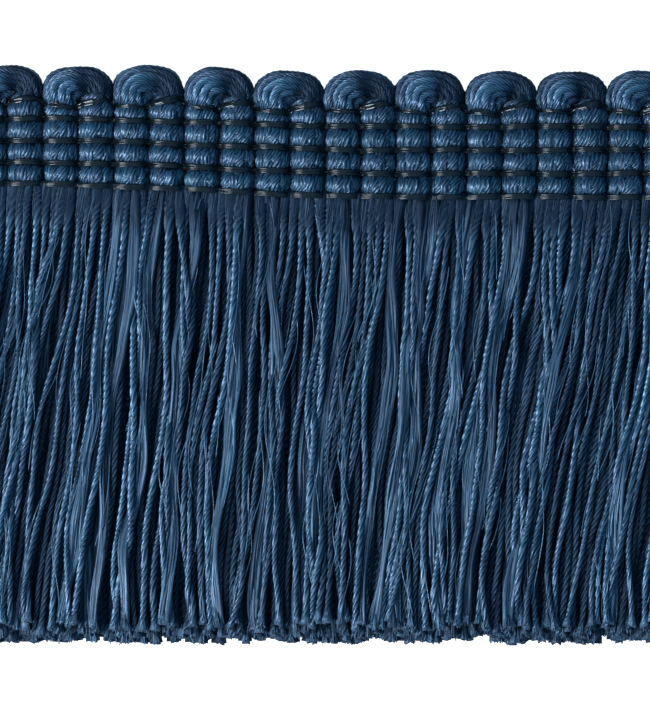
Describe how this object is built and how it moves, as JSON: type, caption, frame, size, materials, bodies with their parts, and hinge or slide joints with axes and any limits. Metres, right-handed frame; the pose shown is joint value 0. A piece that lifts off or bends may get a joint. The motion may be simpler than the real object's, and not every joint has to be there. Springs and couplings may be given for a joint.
{
  "type": "moss fringe",
  "caption": "Cut length of upholstery moss fringe: a woven heading of thick looped yarn with a scalloped edge, over a deep skirt of cut twisted strands.",
  "frame": {"origin": "centre of the trimming's bounding box, on the plane that its back lies on", "axes": "+X along the trimming's length, +Y from the cut skirt up to the scalloped edge, +Z out of its face"},
  "size_m": [0.0842, 0.0576, 0.0041],
  "materials": {
    "weft_yarn": "lustrous plied yarn",
    "binding_yarn": "glossy filament thread",
    "skirt_yarn": "lustrous cut yarn"
  },
  "bodies": {
    "root": {"weft_loop_01": "weft_yarn", "weft_loop_02": "weft_yarn", "weft_loop_03": "weft_yarn", "weft_loop_04": "weft_yarn", "weft_loop_05": "weft_yarn", "weft_loop_06": "weft_yarn", "weft_loop_07": "weft_yarn", "weft_loop_08": "weft_yarn", "weft_loop_09": "weft_yarn", "weft_loop_10": "weft_yarn", "weft_loop_11": "weft_yarn", "binding_thread_1": "binding_yarn", "binding_thread_2": "binding_yarn", "binding_thread_3": "binding_yarn", "binding_thread_4": "binding_yarn", "binding_thread_5": "binding_yarn", "skirt": "skirt_yarn"}
  },
  "joints": []
}
